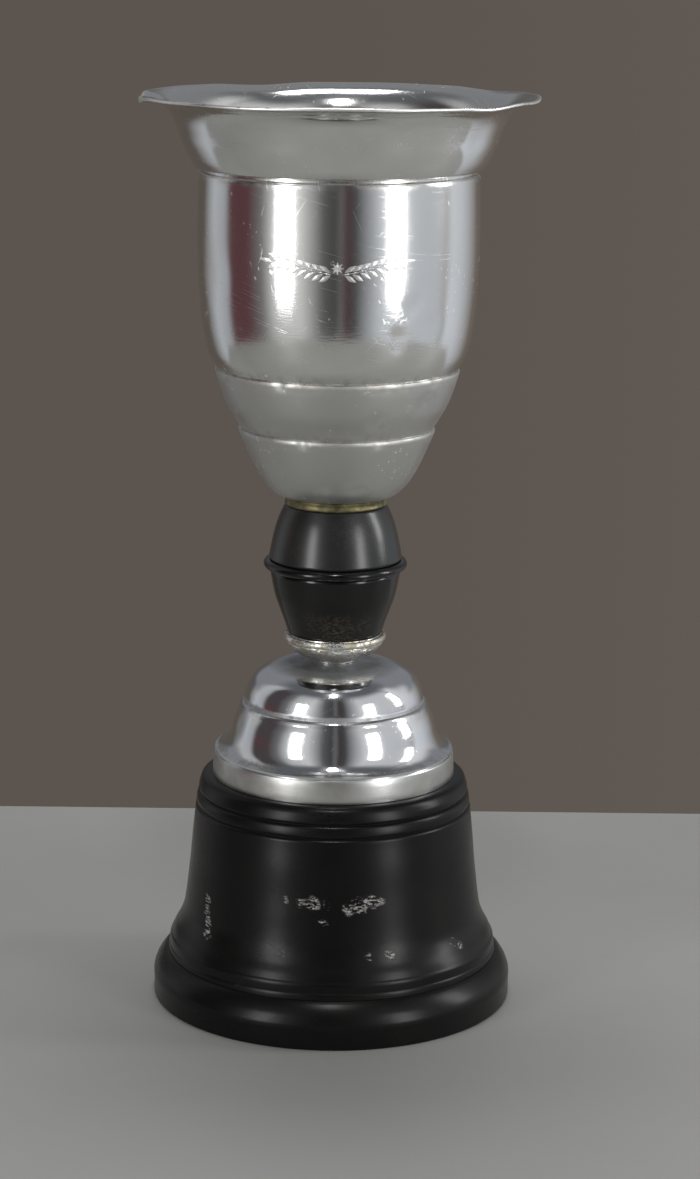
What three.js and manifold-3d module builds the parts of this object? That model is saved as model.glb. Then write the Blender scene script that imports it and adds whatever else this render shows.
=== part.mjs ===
// A cup trophy, 251 mm tall: a spun metal cup on a black two-part knop, a dished collar, a stepped
// chrome foot and a moulded black plinth, all threaded on one tie rod and clamped between two nuts.
// Millimetres, +Z up. The origin is the middle of the face that the plinth stands on, on the trophy's axis.
import * as THREE from "three";
import { mergeVertices } from "three/addons/utils/BufferGeometryUtils.js";
import Module from "manifold-3d";

const wasm = await Module();
wasm.setup();

// ---- Driving dimensions ----
const OVERALL_HEIGHT = 251;
const PLINTH_HEIGHT = 63.7;
const PLINTH_RADIUS = 50.2;
const RIM_RADIUS = 54;
const SHEET = 0.8; // the spun metal's thickness
const ROD_RADIUS = 3; // an M6 tie rod
const THREAD_PLAY = 0.1; // between the rod and a nut's bore
const ROD_HOLE_RADIUS = 3.4; // the clearance hole through every clamped piece

// ---- The stack, from the plinth up ----
const FOOT_RING_HEIGHT = 6.7;
const FOOT_RING_TOP = PLINTH_HEIGHT + FOOT_RING_HEIGHT;
const FOOT_DOME_HEIGHT = 25.4;
const FOOT_DOME_TOP = FOOT_RING_TOP + FOOT_DOME_HEIGHT;
const COLLAR_HEIGHT = 7.9;
const COLLAR_TOP = FOOT_DOME_TOP + COLLAR_HEIGHT;
const KNOP_LOWER_HEIGHT = 18.2;
const BEAD_BOTTOM = COLLAR_TOP + KNOP_LOWER_HEIGHT;
const BEAD_HEIGHT = 2.7;
const BEAD_TOP = BEAD_BOTTOM + BEAD_HEIGHT;
const KNOP_UPPER_HEIGHT = 15.3;
const KNOP_TOP = BEAD_TOP + KNOP_UPPER_HEIGHT;
const SEAT_RING_HEIGHT = 2.5;
const CUP_BOTTOM = KNOP_TOP + SEAT_RING_HEIGHT;

// ---- How finely round surfaces are cut ----
const TURNED_SIDES = 40;
const SMALL_SIDES = 24;
const ARC_STEPS = 3; // lines for each rounded corner
const SAME_POINT = 1e-3; // vertices closer than this are one vertex

const at = (radius, height) => new THREE.Vector2(radius, height);

// ---- Drawing and turning a half-section ----

// A smooth curve through the given points, cut into the given number of lines. Its first point is
// left out, so that stretches can be chained.
function curveThrough(points, lines) {
  const curve = new THREE.SplineCurve(points);
  return curve.getPoints(lines).slice(1);
}

// The points of a rounded corner from one point to another. The first point is left out here too.
function roundedCorner(from, corner, to) {
  const arc = new THREE.QuadraticBezierCurve(from, corner, to);
  return arc.getPoints(ARC_STEPS).slice(1);
}

// Turns a closed half-section round the trophy's axis, with the material on the left of its points.
function turned(section, sides = TURNED_SIDES) {
  const geometry = new THREE.LatheGeometry([...section, section[0].clone()], sides);
  return geometry.rotateX(Math.PI / 2);
}

// ---- Joining solids ----

function solidOf(geometry) {
  const bare = geometry.index ? geometry.toNonIndexed() : geometry.clone();
  bare.deleteAttribute("normal");
  bare.deleteAttribute("uv");
  const merged = mergeVertices(bare, SAME_POINT);
  const mesh = new wasm.Mesh({
    numProp: 3,
    vertProperties: new Float32Array(merged.attributes.position.array),
    triVerts: new Uint32Array(merged.index.array),
  });
  return new wasm.Manifold(mesh);
}

function geometryOf(solid) {
  const mesh = solid.getMesh();
  const geometry = new THREE.BufferGeometry();
  geometry.setAttribute("position", new THREE.BufferAttribute(mesh.vertProperties, 3));
  geometry.setIndex(new THREE.BufferAttribute(mesh.triVerts, 1));
  return geometry;
}

// ---- Materials ----
const finish = (metalness) => (color, roughness) =>
  new THREE.MeshStandardMaterial({ color, roughness, metalness });
const metal = finish(1);
const plastic = finish(0);
const POLISHED_ALUMINIUM = metal(0xd2d3d3, 0.18);
const SATIN_ALUMINIUM = metal(0xbfbfbc, 0.38);
const CHROME = metal(0xe0e3e8, 0.06);
const WORN_NICKEL = metal(0xb9b6aa, 0.42);
const TARNISHED_BRASS = metal(0x8b7f4a, 0.45);
const ZINC_STEEL = metal(0xa4a7aa, 0.4);
const SATIN_BAKELITE = plastic(0x0d0e0e, 0.34);
const GLOSS_BAKELITE = plastic(0x090909, 0.2);
const DUSTY_BAKELITE = plastic(0x1d1f1e, 0.36);

// ---- Cup: spun from one disc, with two stepped rings low on the bowl and a groove under its mouth ----
const CUP_FLOOR_RADIUS = 14.2;
const STEP = 0.6; // how far each spun ring stands out from the wall above it
const LOWER_STEP = at(26.2, 161.3);
const UPPER_STEP = at(32.7, 177.6);
const SHOULDER = at(37.8, 230);
const GROOVE_DEPTH = 0.8;
const FLARE_FOOT = at(38.8, 231.8);
const RIM_ROLL = 2; // how wide the nearly level brim is
const THROAT_IN = 1.9; // how far the inner face stands in from the foot of the flare

function cupOutside() {
  const lowerLip = at(LOWER_STEP.x + STEP, LOWER_STEP.y - STEP);
  const upperLip = at(UPPER_STEP.x + STEP, UPPER_STEP.y - STEP);
  const groove = at(SHOULDER.x - GROOVE_DEPTH, (SHOULDER.y + FLARE_FOOT.y) / 2);
  const floorEdge = at(CUP_FLOOR_RADIUS, CUP_BOTTOM);
  const belly = [UPPER_STEP, at(35.1, 182), at(36.9, 192), at(38, 208), at(37.9, 222), SHOULDER];
  const brim = at(RIM_RADIUS - RIM_ROLL, 249.6);
  const flare = [FLARE_FOOT, at(41.2, 236), at(43.5, 241.6), at(46.7, 246.6), brim];
  const foot = [floorEdge, at(17.2, 143.6), at(20.3, 146.8), at(23.9, 153), lowerLip];
  return [
    at(ROD_HOLE_RADIUS, CUP_BOTTOM),
    floorEdge,
    ...curveThrough(foot, 6),
    LOWER_STEP,
    ...curveThrough([LOWER_STEP, at(30.1, 168), upperLip], 4),
    UPPER_STEP,
    ...curveThrough(belly, 8),
    groove,
    FLARE_FOOT,
    ...curveThrough(flare, 7),
    at(RIM_RADIUS, OVERALL_HEIGHT - SHEET),
    at(RIM_RADIUS, OVERALL_HEIGHT),
  ];
}

function cupInside() {
  const mouth = at(RIM_RADIUS - RIM_ROLL - SHEET / 2, OVERALL_HEIGHT - SHEET / 2);
  const throat = at(FLARE_FOOT.x - THROAT_IN, FLARE_FOOT.y);
  const upperCrease = at(UPPER_STEP.x - SHEET, UPPER_STEP.y);
  const lowerCrease = at(LOWER_STEP.x - SHEET, LOWER_STEP.y);
  const floorTop = CUP_BOTTOM + SHEET;
  const floorEdge = at(CUP_FLOOR_RADIUS - SHEET / 4, floorTop);
  const flare = [mouth, at(45.7, 247), at(42.4, 241.6), at(40, 236), throat];
  const belly = [throat, at(36.9, 222), at(37, 208), at(35.8, 192), at(34, 182.2), upperCrease];
  const lowerTiers = [at(29, 168.2), lowerCrease, at(22.7, 153.3), at(19.5, 147.6)];
  const well = [at(16.7, 144.5), floorEdge];
  return [
    mouth,
    ...curveThrough(flare, 5),
    ...curveThrough([...belly, ...lowerTiers, ...well], 14),
    at(ROD_HOLE_RADIUS, floorTop),
  ];
}

const cupBowl = () => turned([...cupOutside(), ...cupInside()]);

// ---- Seat ring: a plain brass ring between the cup and the knop ----
function seatRing() {
  const outer = CUP_FLOOR_RADIUS;
  return turned([
    at(ROD_HOLE_RADIUS, KNOP_TOP),
    at(outer, KNOP_TOP),
    at(outer, CUP_BOTTOM),
    at(ROD_HOLE_RADIUS, CUP_BOTTOM),
  ]);
}

// ---- Knop: two hollow black mouldings that clamp a bead ring between them ----
const KNOP_WALL = 3;
const KNOP_TOP_RADIUS = 14.2;
const KNOP_WAIST_RADIUS = 18.3;
const KNOP_LOWER_WAIST_RADIUS = 18;
const KNOP_FOOT_RADIUS = 13;
const KNOP_EDGE = 0.6; // how far the upper half's top edge is rounded
const BEAD_RADIUS = 19.8;
const SPIGOT_RADIUS = 15.1; // the lower half's collar, which centres the bead and the upper half
const SPIGOT_WALL = 2.5;
const SPIGOT_PLAY = 0.2;
const SPIGOT_HEIGHT = 5;
const BORE_BELOW_BEAD = 4; // how far the spigot's bore runs on down before it narrows

function knopUpper() {
  const waist = at(KNOP_WAIST_RADIUS, BEAD_TOP);
  const shoulder = at(KNOP_TOP_RADIUS, KNOP_TOP - KNOP_EDGE);
  const face = at(KNOP_TOP_RADIUS - KNOP_EDGE, KNOP_TOP);
  const bore = SPIGOT_RADIUS + SPIGOT_PLAY;
  const ceiling = KNOP_TOP - KNOP_WALL;
  return turned([
    at(bore, BEAD_TOP),
    waist,
    ...curveThrough([waist, at(17.4, BEAD_TOP + 5.1), at(16.2, BEAD_TOP + 10.2), shoulder], 5),
    ...roundedCorner(shoulder, at(KNOP_TOP_RADIUS, KNOP_TOP), face),
    at(ROD_HOLE_RADIUS, KNOP_TOP),
    at(ROD_HOLE_RADIUS, ceiling),
    at(KNOP_TOP_RADIUS - KNOP_WALL, ceiling),
    at(bore, BEAD_TOP + SPIGOT_HEIGHT),
  ]);
}

function knopBead() {
  const inner = SPIGOT_RADIUS + SPIGOT_PLAY;
  const half = BEAD_HEIGHT / 2;
  const middle = BEAD_BOTTOM + half;
  const low = at(BEAD_RADIUS - half, BEAD_BOTTOM);
  const high = at(BEAD_RADIUS - half, BEAD_TOP);
  const nose = at(BEAD_RADIUS, middle);
  return turned([
    at(inner, BEAD_BOTTOM),
    low,
    ...roundedCorner(low, at(BEAD_RADIUS, BEAD_BOTTOM), nose),
    ...roundedCorner(nose, at(BEAD_RADIUS, BEAD_TOP), high),
    at(inner, BEAD_TOP),
  ]);
}

function knopLower() {
  const foot = at(KNOP_FOOT_RADIUS, COLLAR_TOP);
  const waist = at(KNOP_LOWER_WAIST_RADIUS, BEAD_BOTTOM);
  const spigotTop = BEAD_BOTTOM + SPIGOT_HEIGHT;
  const floor = COLLAR_TOP + KNOP_WALL;
  const bore = SPIGOT_RADIUS - SPIGOT_WALL;
  return turned([
    at(ROD_HOLE_RADIUS, COLLAR_TOP),
    foot,
    ...curveThrough([foot, at(15.2, COLLAR_TOP + 6.6), at(16.9, COLLAR_TOP + 12.4), waist], 5),
    at(SPIGOT_RADIUS, BEAD_BOTTOM),
    at(SPIGOT_RADIUS, spigotTop),
    at(bore, spigotTop),
    at(bore, BEAD_BOTTOM - BORE_BELOW_BEAD),
    at(KNOP_FOOT_RADIUS - KNOP_WALL, floor),
    at(ROD_HOLE_RADIUS, floor),
  ]);
}

// ---- Collar: a shallow dish with a rolled lip, which carries the knop ----
const COLLAR_RADIUS = 14.1;
const COLLAR_BASE_RADIUS = 6.2;
const COLLAR_BASE_EDGE = 0.4; // the height of the short upright edge that it stands on
const COLLAR_LIP_HEIGHT = 1.5;
const COLLAR_LIP_ROUND = 0.9;

function stemCollar() {
  const base = at(COLLAR_BASE_RADIUS, FOOT_DOME_TOP + COLLAR_BASE_EDGE);
  const underLip = at(COLLAR_RADIUS, COLLAR_TOP - COLLAR_LIP_HEIGHT);
  const lip = at(COLLAR_RADIUS - COLLAR_LIP_ROUND, COLLAR_TOP);
  return turned([
    at(ROD_HOLE_RADIUS, FOOT_DOME_TOP),
    at(COLLAR_BASE_RADIUS, FOOT_DOME_TOP),
    base,
    ...curveThrough([base, at(10, FOOT_DOME_TOP + 2.2), at(13, FOOT_DOME_TOP + 4.7), underLip], 4),
    ...roundedCorner(underLip, at(COLLAR_RADIUS, COLLAR_TOP), lip),
    at(ROD_HOLE_RADIUS, COLLAR_TOP),
  ]);
}

// ---- Foot: a stepped dome of chromed sheet, whose flared edge lies on a satin ring ----
const FOOT_STEP = at(25, 84.7);
const FOOT_STEP_OUT = 0.9;
const FLARE_RADIUS = 33;
const FLARE_BEVEL = 1.6; // how far the flare's lower edge is turned in
const BOSS_RADIUS = 7.2; // the low boss at the crown, which the collar stands on
const BOSS_FOOT = at(10.2, 94.9);

function footDome() {
  const boss = at(BOSS_RADIUS, FOOT_DOME_TOP);
  const lip = at(FOOT_STEP.x + FOOT_STEP_OUT, FOOT_STEP.y - SHEET);
  const edgeTop = at(FLARE_RADIUS, FOOT_RING_TOP + SHEET);
  const edgeBottom = at(FLARE_RADIUS - FLARE_BEVEL, FOOT_RING_TOP);
  const bossUnder = at(BOSS_RADIUS - SHEET, FOOT_DOME_TOP - SHEET);
  const crownUnder = at(BOSS_FOOT.x - SHEET, BOSS_FOOT.y - SHEET);
  const lowerTier = [edgeTop, at(30.6, 72.4), at(28.7, 74.8), at(27.6, 78.6), lip];
  const upperTier = [FOOT_STEP, at(24, 87.9), at(21.7, 91.4), at(18, 93.8), at(13.8, 94.8), BOSS_FOOT];
  const upperUnder = [crownUnder, at(17.2, 93.1), at(20.8, 90.7), at(24.1, 84.4)];
  const lowerUnder = [at(26.6, 78.4), at(27.9, 74.4), edgeBottom];
  return turned([
    edgeTop,
    ...curveThrough(lowerTier, 7),
    FOOT_STEP,
    ...curveThrough(upperTier, 7),
    ...roundedCorner(BOSS_FOOT, at(BOSS_RADIUS + SHEET, BOSS_FOOT.y), boss),
    at(ROD_HOLE_RADIUS, FOOT_DOME_TOP),
    at(ROD_HOLE_RADIUS, FOOT_DOME_TOP - SHEET),
    bossUnder,
    crownUnder,
    ...curveThrough([...upperUnder, ...lowerUnder], 9),
    at(FLARE_RADIUS, FOOT_RING_TOP),
  ]);
}

const FOOT_RING_BOTTOM_RADIUS = 33.6;
const FOOT_RING_TOP_RADIUS = 33.3;
const FOOT_RING_FLANGE_RADIUS = 28.6; // the inner edge of the flange that the dome lies on
const FOOT_RING_WALL = 1;
const FOOT_RING_ROUND = 0.4;

function footRing() {
  const shoulder = at(FOOT_RING_TOP_RADIUS, FOOT_RING_TOP - FOOT_RING_ROUND);
  const face = at(FOOT_RING_TOP_RADIUS - FOOT_RING_ROUND, FOOT_RING_TOP);
  const flangeBottom = FOOT_RING_TOP - FOOT_RING_WALL;
  return turned([
    at(FOOT_RING_BOTTOM_RADIUS - FOOT_RING_WALL, PLINTH_HEIGHT),
    at(FOOT_RING_BOTTOM_RADIUS, PLINTH_HEIGHT),
    shoulder,
    ...roundedCorner(shoulder, at(FOOT_RING_TOP_RADIUS, FOOT_RING_TOP), face),
    at(FOOT_RING_FLANGE_RADIUS, FOOT_RING_TOP),
    at(FOOT_RING_FLANGE_RADIUS, flangeBottom),
    at(FOOT_RING_TOP_RADIUS - FOOT_RING_WALL, flangeBottom),
  ]);
}

// ---- Plinth: a hollow black moulding with two grooves under its top edge, a cove and a round foot ----
const PLINTH_TOP_RADIUS = 36.3;
const PLINTH_WALL = 4.4;
const PLINTH_TOP_THICKNESS = 5;
const PLINTH_CEILING = PLINTH_HEIGHT - PLINTH_TOP_THICKNESS;
const FOOT_FACE_RADIUS = 44; // the hollow's radius where the plinth stands
const FOOT_EDGE = at(0.7, 0.9); // how far the standing edge is turned off, inwards and upwards
const TORUS_FOOT = at(PLINTH_RADIUS, 5.8);
const TORUS_TOP = at(46.9, 12.9);
const TORUS_CORNER = at(PLINTH_RADIUS - 0.6, 11.6);
const COVE_FOOT = at(45.1, 17.5);
const COVE_TOP = at(41.3, 26.4);
const UPPER_GROOVE = at(37.5, 59.1);
const LOWER_GROOVE = at(38.2, 55.4);
const PLINTH_GROOVE_DEPTH = 0.6;
const PLINTH_GROOVE_HALF = 0.6;
const TOP_EDGE = at(PLINTH_TOP_RADIUS + 0.7, PLINTH_HEIGHT - 1.3);
const TOP_CORNER = at(PLINTH_TOP_RADIUS + 0.4, PLINTH_HEIGHT);
const TOP_FACE = at(PLINTH_TOP_RADIUS - 0.6, PLINTH_HEIGHT);

const plinthGroove = (place) => [
  at(place.x, place.y - PLINTH_GROOVE_HALF),
  at(place.x - PLINTH_GROOVE_DEPTH, place.y),
  at(place.x, place.y + PLINTH_GROOVE_HALF),
];

// The step between the torus and the cove: two narrow ledges.
const PLINTH_STEP = [at(46, 13.2), at(45.7, 16.9), COVE_FOOT];

function plinthOutside() {
  const cove = [COVE_FOOT, at(43.2, 20.9), COVE_TOP, at(39.9, 38), at(38.7, 50)];
  const [grooveFoot, ...restOfGroove] = plinthGroove(LOWER_GROOVE);
  return [
    at(PLINTH_RADIUS - FOOT_EDGE.x, 0),
    at(PLINTH_RADIUS, FOOT_EDGE.y),
    TORUS_FOOT,
    ...roundedCorner(TORUS_FOOT, TORUS_CORNER, TORUS_TOP),
    ...PLINTH_STEP,
    ...curveThrough([...cove, grooveFoot], 7),
    ...restOfGroove,
    ...plinthGroove(UPPER_GROOVE),
    TOP_EDGE,
    ...roundedCorner(TOP_EDGE, TOP_CORNER, TOP_FACE),
  ];
}

function plinthInside() {
  const ceilingEdge = at(PLINTH_TOP_RADIUS - PLINTH_WALL - 1, PLINTH_CEILING);
  return [
    at(ROD_HOLE_RADIUS, PLINTH_HEIGHT),
    at(ROD_HOLE_RADIUS, PLINTH_CEILING),
    ceilingEdge,
    at(UPPER_GROOVE.x - PLINTH_WALL, PLINTH_CEILING - 3),
    at(COVE_TOP.x - PLINTH_WALL, COVE_TOP.y),
    at(COVE_FOOT.x - PLINTH_WALL, COVE_FOOT.y),
    at(FOOT_FACE_RADIUS, 9),
    at(FOOT_FACE_RADIUS, 0),
  ];
}

const plinth = () => turned([...plinthOutside(), ...plinthInside()]);

// ---- Tie rod, washers and nuts ----
const NUT_ACROSS_FLATS = 10;
const NUT_HEIGHT = 5;
const NUT_FACE_RADIUS = 4.8; // where the turned-off corners begin
const NUT_CHAMFER_ANGLE = Math.PI / 6;
const CUP_WASHER_RADIUS = 9;
const CUP_WASHER_THICKNESS = 1.2;
const PLINTH_WASHER_RADIUS = 12;
const PLINTH_WASHER_THICKNESS = 1.6;
const ROD_END_BEYOND_NUT = 2.5;
const ROD_CHAMFER = 0.6;
const CUP_WASHER_BOTTOM = CUP_BOTTOM + SHEET;
const CUP_NUT_BOTTOM = CUP_WASHER_BOTTOM + CUP_WASHER_THICKNESS;
const PLINTH_WASHER_BOTTOM = PLINTH_CEILING - PLINTH_WASHER_THICKNESS;
const PLINTH_NUT_BOTTOM = PLINTH_WASHER_BOTTOM - NUT_HEIGHT;

function washer(bottom, radius, thickness) {
  return turned(
    [
      at(ROD_HOLE_RADIUS, bottom),
      at(radius, bottom),
      at(radius, bottom + thickness),
      at(ROD_HOLE_RADIUS, bottom + thickness),
    ],
    SMALL_SIDES,
  );
}

// A hexagonal prism whose corners are turned off at both ends, as on a real nut.
function hexNut(bottom) {
  const corner = NUT_ACROSS_FLATS / Math.sqrt(3);
  const hexagon = new THREE.Shape();
  for (let i = 0; i < 6; i++) {
    const angle = (i * Math.PI) / 3;
    hexagon[i ? "lineTo" : "moveTo"](corner * Math.cos(angle), corner * Math.sin(angle));
  }
  hexagon.closePath();
  const prism = new THREE.ExtrudeGeometry(hexagon, { depth: NUT_HEIGHT, bevelEnabled: false });
  const outside = corner + 1;
  const chamfer = (outside - NUT_FACE_RADIUS) * Math.tan(NUT_CHAMFER_ANGLE);
  const bore = ROD_RADIUS + THREAD_PLAY;
  const envelope = turned(
    [
      at(bore, 0),
      at(NUT_FACE_RADIUS, 0),
      at(outside, chamfer),
      at(outside, NUT_HEIGHT - chamfer),
      at(NUT_FACE_RADIUS, NUT_HEIGHT),
      at(bore, NUT_HEIGHT),
    ],
    SMALL_SIDES,
  );
  return geometryOf(solidOf(prism).intersect(solidOf(envelope))).translate(0, 0, bottom);
}

// One threaded rod that reaches past both nuts. Its ends are chamfered.
function tieRod() {
  const bottom = PLINTH_NUT_BOTTOM - ROD_END_BEYOND_NUT;
  const top = CUP_NUT_BOTTOM + NUT_HEIGHT + ROD_END_BEYOND_NUT;
  const section = [
    at(0, bottom),
    at(ROD_RADIUS - ROD_CHAMFER, bottom),
    at(ROD_RADIUS, bottom + ROD_CHAMFER),
    at(ROD_RADIUS, top - ROD_CHAMFER),
    at(ROD_RADIUS - ROD_CHAMFER, top),
    at(0, top),
  ];
  return new THREE.LatheGeometry(section, SMALL_SIDES).rotateX(Math.PI / 2);
}

// ---- Assembly ----
const trophy = new THREE.Group();

function add(name, geometry, material) {
  const mesh = new THREE.Mesh(geometry, material);
  mesh.name = name;
  trophy.add(mesh);
}

const cupWasher = washer(CUP_WASHER_BOTTOM, CUP_WASHER_RADIUS, CUP_WASHER_THICKNESS);
const plinthWasher = washer(PLINTH_WASHER_BOTTOM, PLINTH_WASHER_RADIUS, PLINTH_WASHER_THICKNESS);

add("plinth", plinth(), SATIN_BAKELITE);
add("foot_ring", footRing(), SATIN_ALUMINIUM);
add("foot_dome", footDome(), CHROME);
add("stem_collar", stemCollar(), WORN_NICKEL);
add("knop_lower", knopLower(), GLOSS_BAKELITE);
add("knop_bead", knopBead(), GLOSS_BAKELITE);
add("knop_upper", knopUpper(), DUSTY_BAKELITE);
add("cup_seat_ring", seatRing(), TARNISHED_BRASS);
add("cup_bowl", cupBowl(), POLISHED_ALUMINIUM);
add("tie_rod", tieRod(), ZINC_STEEL);
add("cup_washer", cupWasher, ZINC_STEEL);
add("cup_nut", hexNut(CUP_NUT_BOTTOM), ZINC_STEEL);
add("plinth_washer", plinthWasher, ZINC_STEEL);
add("plinth_nut", hexNut(PLINTH_NUT_BOTTOM), ZINC_STEEL);

export default trophy;
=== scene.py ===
# %% [markdown]
# # A cup trophy, from the inside of the cup to the underside of the plinth
# The trophy is a stack of turned pieces on one rod: a spun metal cup, a brass ring, a black knop in two
# halves with a bead between them, a dished collar, a stepped chrome foot on a satin ring, and a hollow
# black plinth. This notebook turns every piece again with finer outlines than the plain CAD ones, ages it,
# and sets up a small studio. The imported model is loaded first. It is the frame that each piece has to fit.

# %% Load the frame
import math

import bpy
from mathutils import Matrix, Vector


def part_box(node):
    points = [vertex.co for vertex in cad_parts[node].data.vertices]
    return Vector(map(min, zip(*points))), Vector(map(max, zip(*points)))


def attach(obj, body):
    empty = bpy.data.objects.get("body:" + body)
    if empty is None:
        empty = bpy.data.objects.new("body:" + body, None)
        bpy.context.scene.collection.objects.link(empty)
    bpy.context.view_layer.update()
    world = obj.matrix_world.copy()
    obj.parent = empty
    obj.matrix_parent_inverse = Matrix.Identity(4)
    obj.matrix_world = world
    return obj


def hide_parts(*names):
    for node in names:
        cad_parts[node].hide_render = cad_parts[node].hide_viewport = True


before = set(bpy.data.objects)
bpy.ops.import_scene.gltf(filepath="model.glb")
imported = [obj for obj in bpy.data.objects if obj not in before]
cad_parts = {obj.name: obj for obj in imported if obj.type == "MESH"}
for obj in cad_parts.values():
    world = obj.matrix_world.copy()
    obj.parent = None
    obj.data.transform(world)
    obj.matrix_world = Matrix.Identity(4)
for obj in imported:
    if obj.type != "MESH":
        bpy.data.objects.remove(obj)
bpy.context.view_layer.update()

MM = 0.001

# %% [markdown]
# ## Where each piece starts and ends
# Every outline below is written in millimetres: the distance from the trophy's axis, and the height above
# the piece's own lowest point. That is how a turner marks out a piece, and it means that a piece can be
# moved up the stack without touching its outline. The heights of the pieces in the stack come from the
# frame.

# %% Heights in the stack
def bottom_of(node):
    """The height of a CAD node's lowest point, in millimetres."""
    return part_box(node)[0][2] / MM


def height_of(node):
    """How tall a CAD node is, in millimetres."""
    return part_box(node)[1][2] / MM - bottom_of(node)


STACK = ("plinth", "foot_ring", "foot_dome", "stem_collar",
         "knop_lower", "knop_bead", "knop_upper", "cup_bowl")

for node in STACK:
    print(f"{node:12s} stands at {bottom_of(node):6.1f} mm and is {height_of(node):6.1f} mm tall")

# %% [markdown]
# ## Drawing an outline and turning it
# A turned piece can be made by extruding a circle ring by ring, or by drawing half of its section and
# spinning that round the axis. Spinning is the better way here: the whole section is seen at once, and one
# outline makes a piece with even rings. The outline starts as one vertex, which is extruded from point to
# point. Its round stretches are worked out from a few points each, and its corners are eased a little,
# because no real corner is perfectly sharp.

# %% Round stretches and eased corners
def between(a, b, c, d, t):
    """A number on the smooth way from b to c, which leans on its neighbours a and d as well."""
    return 0.5 * (2 * b + (c - a) * t + (2 * a - 5 * b + 4 * c - d) * t**2 + (3 * b - a - 3 * c + d) * t**3)


def flow(*points, lines=5):
    """A smooth run through the given points, with the same number of lines between each two of them."""
    ends = [points[0], *points, points[-1]]
    run = [points[0]]
    for before, start, end, after in zip(ends, ends[1:], ends[2:], ends[3:]):
        for line in range(1, lines + 1):
            t = line / lines
            run.append(tuple(between(a, b, c, d, t) for a, b, c, d in zip(before, start, end, after)))
    return run


def eased(start, corner, end, lines=3):
    """A corner that is rounded off between two points."""
    steps = [line / lines for line in range(lines + 1)]
    return [tuple((1 - t)**2 * a + 2 * t * (1 - t) * b + t**2 * c for a, b, c in zip(start, corner, end))
            for t in steps]


print("A run through 3 points has", len(flow((0, 0), (1, 2), (3, 3))), "points")

# %% Draw an outline, one extruded vertex after another
def select_nothing():
    """Leave every object unselected, so that the next operator acts on the new piece alone."""
    bpy.ops.object.select_all(action="DESELECT")


def edit_everything():
    """Enter Edit Mode with the whole mesh selected."""
    bpy.ops.object.mode_set(mode="EDIT")
    bpy.ops.mesh.select_all(action="SELECT")


def end_editing():
    """Leave Edit Mode with nothing selected."""
    bpy.ops.mesh.select_all(action="DESELECT")
    bpy.ops.object.mode_set(mode="OBJECT")


def draw_outline(name, outline, base):
    """A new piece that holds a line through the outline's points, lifted to its base height."""
    select_nothing()
    bpy.ops.mesh.primitive_plane_add(size=MM, location=(0, 0, 0))
    piece = bpy.context.object
    piece.name = piece.data.name = name
    edit_everything()
    bpy.ops.mesh.merge(type="CENTER")
    radius, height = outline[0]
    bpy.ops.transform.translate(value=(radius * MM, 0, (base + height) * MM))
    for (radius, height), (next_radius, next_height) in zip(outline, outline[1:]):
        step = ((next_radius - radius) * MM, 0, (next_height - height) * MM)
        bpy.ops.mesh.extrude_region_move(TRANSFORM_OT_translate={"value": step})
    return piece


# %% Spin the outline round the axis
WELD = 1e-6


def turn(name, outline, base, sides=160):
    """A piece turned from an outline, with its seam welded and its faces pointing outwards."""
    piece = draw_outline(name, outline, base)
    bpy.ops.mesh.select_all(action="SELECT")
    bpy.ops.mesh.spin(steps=sides, angle=2 * math.pi, center=(0, 0, 0), axis=(0, 0, 1))
    bpy.ops.mesh.select_all(action="SELECT")
    bpy.ops.mesh.remove_doubles(threshold=WELD)
    bpy.ops.mesh.normals_make_consistent(inside=False)
    end_editing()
    print(f"{name}: {len(piece.data.polygons)} faces from an outline of {len(outline)} points")
    return piece


def shade(piece, degrees=32):
    """Smooth shading that keeps every edge sharper than the given angle."""
    select_nothing()
    piece.select_set(True)
    bpy.context.view_layer.objects.active = piece
    bpy.ops.object.shade_smooth_by_angle(angle=math.radians(degrees))
    return piece


# %% [markdown]
# ## Sheet metal
# The cup and the chrome foot are spun from sheet, so their inner face follows their outer one. Only the
# outer face is drawn. The Solidify modifier then gives the sheet its thickness, inwards, which needs faces
# that point outwards: on an open shell that has to be looked at, because an operator can't tell the inside
# of an open shell from the outside.

# %% Give a turned shell the thickness of its sheet
def point_outwards(piece):
    """Turn an open shell's faces round if they point at the axis."""
    outward = 0.0
    for face in piece.data.polygons:
        outward += face.area * face.normal.dot(Vector((face.center.x, face.center.y, 0)))
    if outward < 0:
        edit_everything()
        bpy.ops.mesh.flip_normals()
        bpy.ops.object.mode_set(mode="OBJECT")


def thicken(piece, sheet):
    """Make a shell into closed sheet metal, measured in millimetres inwards from its outer face."""
    point_outwards(piece)
    modifier = piece.modifiers.new("sheet", "SOLIDIFY")
    modifier.thickness = sheet * MM
    modifier.offset = -1
    bpy.ops.object.modifier_apply(modifier=modifier.name)


# %% [markdown]
# ## Dents and bends
# Spun sheet is soft, and an old cup has knocks. A dent is made by taking hold of one vertex and moving it
# with proportional editing on, so that the sheet round it gives way smoothly. Both walls are within reach,
# so they move together and the sheet keeps its thickness.

# %% Press on one spot and let the sheet follow
def forget_selection(piece):
    """Clear what is left selected in a mesh from the last operator."""
    select_nothing()
    piece.select_set(True)
    bpy.context.view_layer.objects.active = piece
    bpy.ops.object.mode_set(mode="EDIT")
    end_editing()


def on_the_wall(radius, angle, height):
    """A place given by its distance from the axis, its angle in degrees from the front, and its height."""
    turned_by = math.radians(angle - 90)
    return Vector((radius * math.cos(turned_by), radius * math.sin(turned_by), height)) * MM


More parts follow.
